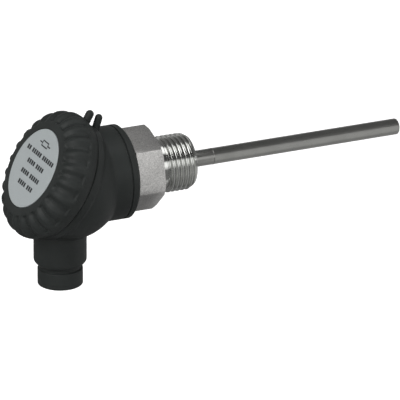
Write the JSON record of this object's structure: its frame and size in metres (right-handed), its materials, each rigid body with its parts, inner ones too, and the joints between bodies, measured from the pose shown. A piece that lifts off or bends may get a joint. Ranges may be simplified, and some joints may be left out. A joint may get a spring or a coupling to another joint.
{
  "type": "rtd probe with connection head",
  "caption": "Screw-in resistance temperature probe: closed steel tube, hexagon fitting with pipe thread, and a plastic connection head with a ribbed screw lid and a cable gland.",
  "frame": {"origin": "centre of the hexagon's sealing face, on the probe axis", "axes": "+X along the probe towards its tip, +Z away from the cable gland; the lid faces -X and is tilted up by 30 degrees"},
  "size_m": [0.1555, 0.0484, 0.065],
  "materials": {
    "head_plastic": "satin moulded",
    "lid_plastic": "satin moulded",
    "label_foil": "printed silver foil",
    "seal_rubber": "matte",
    "washer_steel": "stamped",
    "turned_steel": "turned and milled",
    "tube_steel": "drawn",
    "element_ceramic": "fired",
    "paste": "paste",
    "glass_sleeve": "woven",
    "lead_red": "extruded",
    "lead_white": "extruded",
    "tinned_copper": "tinned",
    "potting_resin": "cast",
    "base_ceramic": "fired",
    "terminal_brass": "stamped",
    "screw_steel": "nickel plated"
  },
  "bodies": {
    "head": {"housing": "head_plastic", "process_fitting": "turned_steel", "fitting_o_ring": "seal_rubber", "protection_tube": "tube_steel", "sensing_element": "element_ceramic", "thermal_paste": "paste", "insulating_sleeve": "glass_sleeve", "lead_wire_a": "lead_red", "lead_wire_b": "lead_white", "wire_ferrules": "tinned_copper", "potting_plug": "potting_resin", "terminal_base": "base_ceramic", "terminal_plate_a": "terminal_brass", "terminal_plate_b": "terminal_brass", "base_screws": "screw_steel", "gland_seal": "seal_rubber"},
    "lid_carrier": {"lid_gasket": "seal_rubber"},
    "screw_lid": {"lid": "lid_plastic", "label_disc": "label_foil"},
    "nut_carrier": {"gland_washer": "washer_steel"},
    "pressure_nut": {"gland_nut": "head_plastic"},
    "clamp_screw_a": {"terminal_screw_a": "screw_steel"},
    "clamp_screw_b": {"terminal_screw_b": "screw_steel"}
  },
  "joints": [
    {"name": "lid_lift", "type": "slide", "parent": "head", "child": "lid_carrier", "axis": [-0.866, 0, 0.5], "range_m": [0, 0.009]},
    {"name": "lid_turn", "type": "hinge", "parent": "lid_carrier", "child": "screw_lid", "pos_m": [-0.0341, 0, -0.0003], "axis": [-0.866, 0, 0.5], "range_deg": [0, 1080]},
    {"name": "nut_travel", "type": "slide", "parent": "head", "child": "nut_carrier", "axis": [0, 0, -1], "range_m": [0, 0.0045]},
    {"name": "nut_turn", "type": "hinge", "parent": "nut_carrier", "child": "pressure_nut", "pos_m": [-0.0358, 0, 0], "axis": [0, 0, -1], "range_deg": [0, 1080]},
    {"name": "clamp_a_turn", "type": "hinge", "parent": "head", "child": "clamp_screw_a", "pos_m": [-0.0321, -0.0065, 0.0028], "axis": [-1, 0, 0], "range_deg": [0, 720]},
    {"name": "clamp_b_turn", "type": "hinge", "parent": "head", "child": "clamp_screw_b", "pos_m": [-0.0321, 0.0065, 0.0028], "axis": [-1, 0, 0], "range_deg": [0, 720]}
  ],
  "couplings": [
    {"joint": "lid_lift", "follows": "lid_turn", "m_per_rad": 0.000477},
    {"joint": "nut_travel", "follows": "nut_turn", "m_per_rad": 0.0002387}
  ]
}
